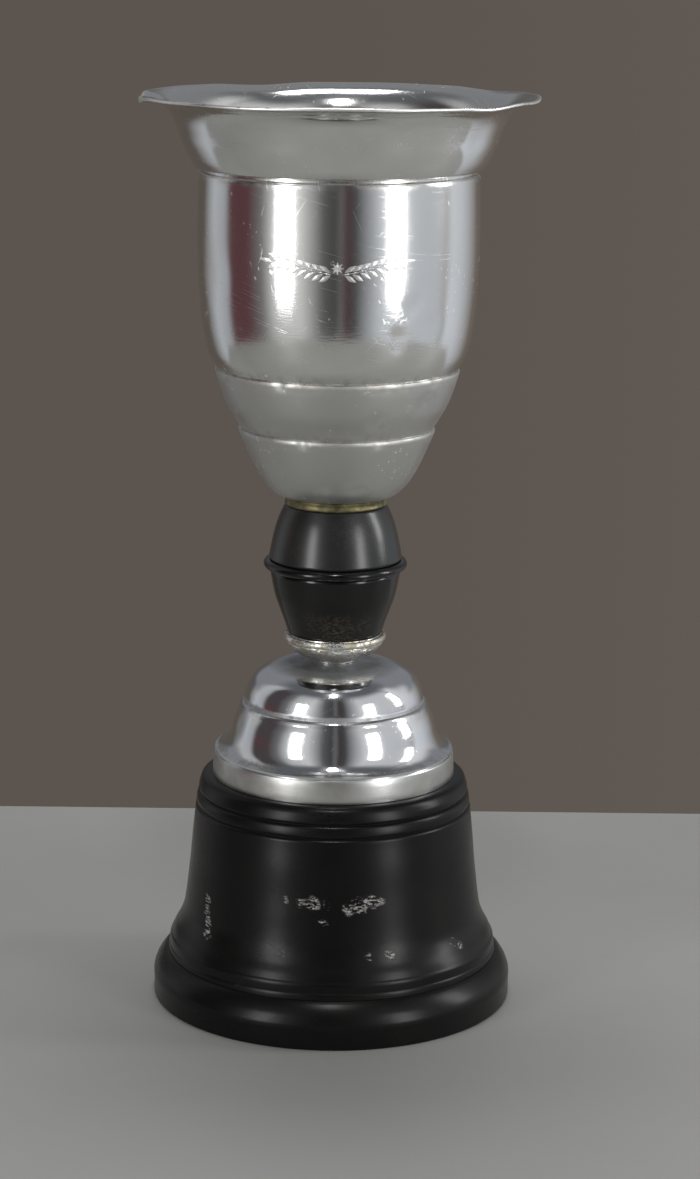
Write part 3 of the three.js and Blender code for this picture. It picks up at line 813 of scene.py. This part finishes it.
# %% The foot's chrome
def make_foot_chrome():
    finish, tree, shader = start_finish("foot_mirror_chrome", Metallic=1.0)
    haze = noise(tree, 70, detail=5)
    specks = threshold(tree, noise(tree, 1300, detail=2), 0.70, 0.76)
    hairs = strongest(tree, scratches(tree, 300, 0.005, 50), scratches(tree, 330, 0.005, -60))
    bloom = times(tree, painted(tree, "bloom"), threshold(tree, noise(tree, 300, 5), 0.42, 0.68))
    rust = times(tree, specks, threshold(tree, haze, 0.5, 0.65))
    hazy = threshold(tree, haze, 0.4, 0.7, 0, 0.3)
    color = mixed(tree, hazy, (0.83, 0.845, 0.87, 1), (0.70, 0.71, 0.72, 1))
    painted_shade = times(tree, painted(tree, "painted_shade"), threshold(tree, noise(tree, 180, 4), 0.2, 0.6, 0.75, 1.0))
    color = mixed(tree, bloom, color, (0.36, 0.32, 0.25, 1))
    color = mixed(tree, times(tree, rust, 0.8), color, (0.16, 0.12, 0.09, 1))
    # Painted shade: the crown round the collar and the crease at the ledge are darkened and made rougher.
    color = mixed(tree, times(tree, painted_shade, 0.8), color, (0.14, 0.145, 0.16, 1))
    roughness = level(tree, 0.06, (0.08, haze), (0.12, hairs), (0.35, bloom), (0.3, rust), (0.5, painted_shade))
    uneven = bumped(tree, noise(tree, 60, detail=2), 0.09)
    pitted = bumped(tree, specks, -0.012, bumped(tree, hairs, -0.003, uneven))
    wear(tree, shader, color, roughness, pitted)
    return finish


foot_chrome = make_foot_chrome()

# %% [markdown]
# ## Duller metals
# The ring under the chrome foot is satin, with fine lines from the lathe. The collar's plating has worn
# through in patches and is pitted. The seat ring is brass gone brown and green. The hardware is zinc plate
# with a faint bloom.

# %% Satin aluminium and worn nickel
def make_satin_aluminium():
    finish, tree, shader = start_finish("ring_satin_aluminium", Metallic=1.0, Anisotropic=0.4)
    lathe_lines = noise(tree, 1, detail=4, stretch=(60, 60, 5200))
    stains = noise(tree, 120, detail=5)
    hairs = scratches(tree, 300, 0.008, 65)
    stained = threshold(tree, stains, 0.45, 0.7, 0, 0.5)
    color = mixed(tree, stained, (0.58, 0.58, 0.565, 1), (0.38, 0.365, 0.33, 1))
    roughness = level(tree, 0.20, (0.14, stains), (0.06, lathe_lines), (0.12, hairs))
    wear(tree, shader, color, roughness, bumped(tree, hairs, -0.008, bumped(tree, lathe_lines, 0.008)))
    return finish


def make_worn_nickel():
    finish, tree, shader = start_finish("collar_worn_nickel", Metallic=1.0)
    patches = noise(tree, 260, detail=6, roughness=0.65)
    pits = threshold(tree, noise(tree, 1900, detail=3), 0.58, 0.7)
    worn = threshold(tree, patches, 0.5, 0.62)
    color = mixed(tree, worn, (0.78, 0.77, 0.72, 1), (0.42, 0.38, 0.29, 1))
    color = mixed(tree, times(tree, pits, 0.7), color, (0.15, 0.13, 0.10, 1))
    roughness = level(tree, 0.2, (0.3, worn), (0.25, pits), (0.1, patches))
    wear(tree, shader, color, roughness, bumped(tree, pits, -0.06, bumped(tree, patches, 0.12)))
    return finish


satin_aluminium = make_satin_aluminium()
worn_nickel = make_worn_nickel()

# %% Tarnished brass and zinc plate
def make_tarnished_brass():
    finish, tree, shader = start_finish("seat_tarnished_brass", Metallic=0.85)
    patches = noise(tree, 330, detail=6, roughness=0.6)
    green = threshold(tree, noise(tree, 520, detail=4), 0.5, 0.7)
    color = mixed(tree, threshold(tree, patches, 0.35, 0.65), (0.10, 0.09, 0.045, 1), (0.25, 0.215, 0.11, 1))
    color = mixed(tree, times(tree, green, 0.5), color, (0.08, 0.095, 0.06, 1))
    wear(tree, shader, color, level(tree, 0.36, (0.25, patches), (0.15, green)), bumped(tree, patches, 0.06))
    return finish


def make_zinc_plate():
    finish, tree, shader = start_finish("hardware_zinc_plate", Metallic=1.0)
    bloom = noise(tree, 420, detail=5)
    grain = noise(tree, 2400, detail=3)
    stained = threshold(tree, noise(tree, 160, detail=4), 0.52, 0.66)
    color = mixed(tree, bloom, (0.56, 0.57, 0.58, 1), (0.40, 0.40, 0.39, 1))
    color = mixed(tree, times(tree, stained, 0.5), color, (0.20, 0.16, 0.11, 1))
    roughness = level(tree, 0.28, (0.2, bloom), (0.08, grain), (0.2, stained))
    wear(tree, shader, color, roughness, bumped(tree, grain, 0.012))
    return finish


tarnished_brass = make_tarnished_brass()
zinc_plate = make_zinc_plate()

# %% [markdown]
# ## Black mouldings
# Old black plastic is never quite black. It is dark grey with a brown cast where it has oxidised, its gloss
# breaks up where hands and cloths have been, and a knock leaves a pale, crumbly scuff. The plinth, the
# upper half of the knop and the glossier lower half share one recipe, with their own gloss, dust and
# smudges.

# %% One recipe for the mouldings
def make_moulding(name, black, shine, gloss, dust, smudge):
    """Black moulded plastic. The smudge colour shows where the attribute of that name was painted."""
    finish, tree, shader = start_finish(name, Specular_IOR_Level=shine)
    clouds = noise(tree, 60, detail=6)
    wiped = noise(tree, 38, detail=4, stretch=(1, 1, 0.35))
    grain = noise(tree, 2600, detail=2)
    specks = threshold(tree, noise(tree, 1500, detail=3), 0.70, 0.78)
    hairs = strongest(tree, scratches(tree, 240, 0.004, 40), scratches(tree, 300, 0.004, -55))
    flakes = threshold(tree, noise(tree, 620, detail=6, stretch=(0.8, 0.8, 2.4), roughness=0.75), 0.50, 0.54)
    crumbs = times(tree, flakes, threshold(tree, noise(tree, 1500, detail=3), 0.36, 0.46))
    scuff = times(tree, threshold(tree, painted(tree, "scuffs"), 0.1, 0.5), crumbs)
    streaky = threshold(tree, noise(tree, 900, 6, stretch=(1, 1, 2)), 0.34, 0.9)
    smear = times(tree, painted(tree, "smudges"), streaky)
    brown = tuple(channel * factor for channel, factor in zip(black, (1.7, 1.5, 1.25))) + (1,)
    color = mixed(tree, threshold(tree, clouds, 0.45, 0.8), (*black, 1), brown)
    color = mixed(tree, times(tree, specks, dust), color, (0.16, 0.155, 0.14, 1))
    color = mixed(tree, times(tree, hairs, 0.07), color, (0.14, 0.14, 0.135, 1))
    color = mixed(tree, smear, color, smudge)
    color = mixed(tree, scuff, color, (0.36, 0.35, 0.33, 1))
    roughness = level(tree, gloss, (0.09, wiped), (0.06, clouds), (0.15, hairs), (0.5, scuff), (0.25, smear))
    soft = bumped(tree, noise(tree, 70, detail=2), 0.05)
    grained = bumped(tree, grain, 0.0025, soft)
    scratched = bumped(tree, hairs, -0.006, grained)
    wear(tree, shader, color, roughness, bumped(tree, scuff, -0.08, scratched))
    return finish


plinth_black = make_moulding("plinth_black_bakelite", (0.0035, 0.0036, 0.0038), shine=0.2, gloss=0.20,
                             dust=0.12, smudge=(0.035, 0.033, 0.028, 1))
knop_satin = make_moulding("knop_satin_black", (0.016, 0.0165, 0.0165), shine=0.5, gloss=0.19, dust=0.35,
                           smudge=(0.06, 0.056, 0.047, 1))
knop_gloss = make_moulding("knop_gloss_black", (0.003, 0.003, 0.003), shine=0.4, gloss=0.09, dust=0.12,
                           smudge=(0.085, 0.074, 0.046, 1))

# %% [markdown]
# ## Where the marks are
# The marks are painted now: brown bloom in the creases of the cup and the foot, bruises beside the dents,
# painted shade round the collar and in the crease at the foot's ledge, pale scuffs on the plinth, and the
# brown smear where the lower half of the knop was wiped with polish.

# %% Paint the metal
paint(cup, "bloom", [
    ((32.9, CUP_BOTTOM + 35.4), 3.5, 0.75), ((26.4, CUP_BOTTOM + 19), 3.5, 0.75),
    ((37.2, CUP_BOTTOM + 88.4), 2.5, 0.8), ((15, CUP_BOTTOM + 0.5), 5, 0.7),
    *spots((27, 28, 166, 6, 0.7), (20, 20, 147, 6, 0.7))])
paint(cup, "bruises", spots(
    (37.4, 27, 196, 3.2, 0.8), (37.2, 38, 190, 2.6, 0.6), (36.4, 31, 186, 2.2, 0.6), (44, 30, 243.5, 4, 0.5),
    (43, 42, 242.5, 5, 0.6), (43, 55, 240, 4, 0.4), (31.9, 50, 172, 2.6, 0.7), (31.0, 38, 170, 2, 0.6),
    (33.2, 33, 176.5, 2, 0.6), (29.7, 24, 167, 2, 0.7), (26.9, 13, 161, 1.8, 0.7), (26.9, -14, 161, 1.6, 0.8),
    (33.3, -25, 177, 1.6, 0.8), (24, -40, 151, 3, 0.5), (22.5, -36, 147, 3, 0.5), (37.7, 150, 212, 4, 0.7),
    (36.9, -152, 192, 4, 0.6)))
paint(foot, "bloom", [((25.3, FOOT_BOTTOM + 14.2), 2, 0.7), ((31.5, FOOT_BOTTOM + 1.3), 1.8, 0.6),
                      *spots((19, 20, 93.5, 4, 0.5))])
# Painted shade on the foot: round the collar and in the crease at the ledge.
paint(foot, "painted_shade", [((10.5, FOOT_BOTTOM + 24.5), 8, 1.0), ((25.0, FOOT_BOTTOM + 14.6), 0.9, 0.8)])

# %% Paint the mouldings
paint(plinth, "scuffs", spots(
    (40, -18, 38.6, 1.2, 0.8), (40, -12, 38.3, 1.6, 0.7), (40, -7, 38.0, 2.2, 0.9), (40, -2, 37.8, 1.3, 0.7),
    (40.6, 7, 36.4, 2.0, 1.0), (40, 11, 37.4, 2.6, 1.0), (40, 16, 38.2, 2.2, 0.9), (40, 20, 38.3, 1.4, 0.7),
    (41, -3, 33, 1.3, 1.0), (42.2, 14, 23.5, 1.2, 0.9), (42.2, 22, 23.4, 1.7, 1.0), (42.0, -19, 24, 1.4, 0.6),
    (40.7, -57, 33, 1.5, 0.9), (41, -57, 30, 1.6, 0.9), (41.3, -55, 27, 1.8, 0.9), (42, -54, 24, 1.8, 1.0),
    (42.6, 52, 23, 1.6, 0.8), (43, 55, 21.4, 1.5, 0.8), (41.0, 128, 29, 3, 0.9), (50.0, 165, 6, 3, 0.8),
    (40.0, -140, 38, 2.6, 0.8)))
paint(plinth, "smudges", spots((42.3, -21, 22.5, 6, 0.4), (36, 0, 63, 8, 0.3), (44, 100, 16, 10, 0.4)))
LOWER_FOOT = bottom_of("knop_lower")
UPPER_FOOT = bottom_of("knop_upper")
paint(knop_lower, "smudges", spots(
    (14, 2, LOWER_FOOT + 3, 7, 0.75), (15, -22, LOWER_FOOT + 5, 5, 0.45), (15, 30, LOWER_FOOT + 4, 5, 0.5),
    (14, 150, LOWER_FOOT + 3, 6, 0.5)))
paint(knop_upper, "smudges", spots(
    (15.5, 12, UPPER_FOOT + 11, 6, 0.35), (17.5, -130, UPPER_FOOT + 5, 5, 0.35)))

# %% Put each finish on its pieces
def wear_finish(piece, finish):
    """Give a piece one finish all over."""
    piece.data.materials.clear()
    piece.data.materials.append(finish)


for piece, finish in (
        (cup, cup_metal), (engraving, bright_cut), (seat_ring, tarnished_brass), (knop_upper, knop_satin),
        (knop_bead, knop_gloss), (knop_lower, knop_gloss), (collar, worn_nickel), (foot, foot_chrome),
        (foot_ring, satin_aluminium), (plinth, plinth_black)):
    wear_finish(piece, finish)
for name in ("tie_rod_threaded", "cup_washer_turned", "plinth_washer_turned"):
    wear_finish(bpy.data.objects[name], zinc_plate)
for name in ("cup_nut", "plinth_nut"):
    for material_slot in bpy.data.objects[name].material_slots:
        material_slot.material = zinc_plate

# %% [markdown]
# ## The studio
# Bright metal shows what stands round it, so the studio is part of its look. Two upright soft boxes stand
# to the left and the right of the camera, with a dim gap between them. A third hangs overhead, a little
# behind the trophy. A pale window shines from the far right, and a small lamp hangs high in front for a
# bright glint. The pale table top is round, with a straight back edge behind the trophy. The room is
# painted on the world in upright bands: a dim gap where the camera stands, pale walls beside it, a dark red
# curtain at the far left and the warm grey backdrop behind. High up the curtain turns grey, a paler wall
# shows above the backdrop, and the ceiling is dim.

# %% The table top
TABLE_RADIUS = 0.5
TABLE_BACK = 0.17
TABLE_THICKNESS = 0.02


def make_table_top():
    finish, tree, shader = start_finish("table_pale_paint")
    mottle = noise(tree, 9, detail=6)
    fine = noise(tree, 350, detail=3)
    color = mixed(tree, mottle, (0.31, 0.31, 0.295, 1), (0.25, 0.25, 0.238, 1))
    wear(tree, shader, color, level(tree, 0.5, (0.2, mottle)), bumped(tree, fine, 0.05))
    return finish


select_nothing()
bpy.ops.mesh.primitive_cylinder_add(vertices=256, radius=TABLE_RADIUS, depth=TABLE_THICKNESS,
                                    location=(0, 0, -TABLE_THICKNESS / 2))
table = bpy.context.object
table.name = "table_top"
edit_everything()
bpy.ops.mesh.bisect(plane_co=(0, TABLE_BACK, 0), plane_no=(0, 1, 0), clear_outer=True, use_fill=True)
bpy.ops.object.mode_set(mode="OBJECT")
wear_finish(table, make_table_top())

# %% The room, painted on the world
BACKDROP = (0.107, 0.091, 0.078)
PLAIN = (1.0, 1.0, 1.0)
COOL = (0.93, 0.97, 1.04)
DARK_CURTAIN = (1.0, 0.42, 0.48)
ROOM_BANDS = [  # degrees to the right of the camera's side, how bright the room is there, and its tint
    (-180, 1, BACKDROP), (-140, 1, BACKDROP), (-120, 0.5, COOL), (-105, 0.4, COOL),
    (-98, 0.1, DARK_CURTAIN), (-78, 0.1, DARK_CURTAIN), (-65, 0.15, PLAIN),
    (-55, 0.45, PLAIN), (-30, 0.6, PLAIN), (-12, 0.1, PLAIN), (-2, 0.05, PLAIN),
    (2, 0.15, PLAIN), (7, 0.07, DARK_CURTAIN), (14, 0.06, PLAIN),
    (35, 0.6, COOL), (90, 0.55, COOL), (98, 0.4, PLAIN), (105, 0.7, COOL), (120, 0.6, COOL),
    (150, 1.5, BACKDROP), (180, 1, BACKDROP),
]
WALL_ABOVE_THE_BACKDROP = (0.22, 0.225, 0.24, 1)
CEILING = (0.11, 0.115, 0.125, 1)
BACKDROP_SIDE = (112, 138)
BACKDROP_TOP = (7, 16)
CURTAIN_TOP = (-4, 8)
CEILING_EDGE = (42, 62)


def between_degrees(tree, value, edge, height=False, top=1.0):
    """A smooth step between two angles. With height set, the value is a direction's Z, not an angle."""
    low, high = (math.radians(degrees) for degrees in edge)
    if height:
        low, high = math.sin(low), math.sin(high)
    return threshold(tree, value, low, high, 0, top)


def paint_room():
    world = bpy.data.worlds.new("room")
    bpy.context.scene.world = world
    world.use_nodes = True
    tree = world.node_tree
    background = tree.nodes["Background"]
    direction = add_node(tree, "ShaderNodeTexCoord", {}, output="Generated")
    parts = add_node(tree, "ShaderNodeSeparateXYZ", {0: direction}).node
    forward = times(tree, parts.outputs["Y"], -1.0)
    angle = math_node(tree, "ARCTAN2", parts.outputs["X"], forward)
    turns = math_node(tree, "MULTIPLY_ADD", angle, 1 / (2 * math.pi))
    turns.node.inputs[2].default_value = 0.5
    bands = add_node(tree, "ShaderNodeValToRGB", {"Fac": turns}).node
    ramp = bands.color_ramp
    while len(ramp.elements) < len(ROOM_BANDS):
        ramp.elements.new(0.5)
    for element, (degrees, brightness, tint) in zip(ramp.elements, ROOM_BANDS):
        element.position = degrees / 360 + 0.5
        element.color = (*(brightness * channel for channel in tint), 1)
    behind = between_degrees(tree, math_node(tree, "ABSOLUTE", angle), BACKDROP_SIDE)
    rise = parts.outputs["Z"]
    above = times(tree, behind, between_degrees(tree, rise, BACKDROP_TOP, height=True))
    grey = add_node(tree, "ShaderNodeRGBToBW", {"Color": bands.outputs["Color"]})
    off_the_curtain = between_degrees(tree, rise, CURTAIN_TOP, height=True, top=0.8)
    walls = mixed(tree, off_the_curtain, bands.outputs["Color"], grey)
    walls = mixed(tree, above, walls, WALL_ABOVE_THE_BACKDROP)
    overhead = between_degrees(tree, rise, CEILING_EDGE, height=True)
    tree.links.new(mixed(tree, overhead, walls, CEILING), background.inputs["Color"])


paint_room()
print("The room has", len(ROOM_BANDS), "bands")

# %% The soft boxes
AIM = Vector((0, 0, 0.13))


def add_soft_box(name, angle, distance, height, width, tall, power):
    """An area light that faces the trophy from some degrees to the right of the camera's side."""
    turned_by = math.radians(angle - 90)
    place = Vector((distance * math.cos(turned_by), distance * math.sin(turned_by), height))
    light = bpy.data.lights.new(name, "AREA")
    light.shape = "RECTANGLE"
    light.size = width
    light.size_y = tall
    light.energy = power
    box = bpy.data.objects.new(name, light)
    bpy.context.scene.collection.objects.link(box)
    box.location = place
    box.rotation_euler = (AIM - place).to_track_quat("-Z", "Y").to_euler()


add_soft_box("soft_box_left", -43, 1.25, 0.3, 0.28, 0.8, 5)
add_soft_box("soft_box_right", 47, 1.25, 0.3, 0.28, 0.8, 5)
add_soft_box("soft_box_overhead", 180, 0.25, 1.3, 0.45, 0.35, 6.5)
add_soft_box("window_right", 92, 1.3, 0.6, 0.22, 0.75, 5)
add_soft_box("lamp_in_front", 0, 0.6, 1.3, 0.1, 0.3, 3.5)

# %% The camera
CAMERA_PLACE = (0.0041, -0.827, 0.3066)
CAMERA_DIP = 13.0
CAMERA_LEAN = 0.64
LENS = 94.05

camera_data = bpy.data.cameras.new("camera")
camera_data.lens = LENS
camera = bpy.data.objects.new("camera", camera_data)
bpy.context.scene.collection.objects.link(camera)
camera.matrix_world = (Matrix.Translation(CAMERA_PLACE)
                       @ Matrix.Rotation(math.radians(90 - CAMERA_DIP), 4, "X")
                       @ Matrix.Rotation(math.radians(CAMERA_LEAN), 4, "Z"))
bpy.context.scene.camera = camera
bpy.context.scene.view_settings.view_transform = "Standard"
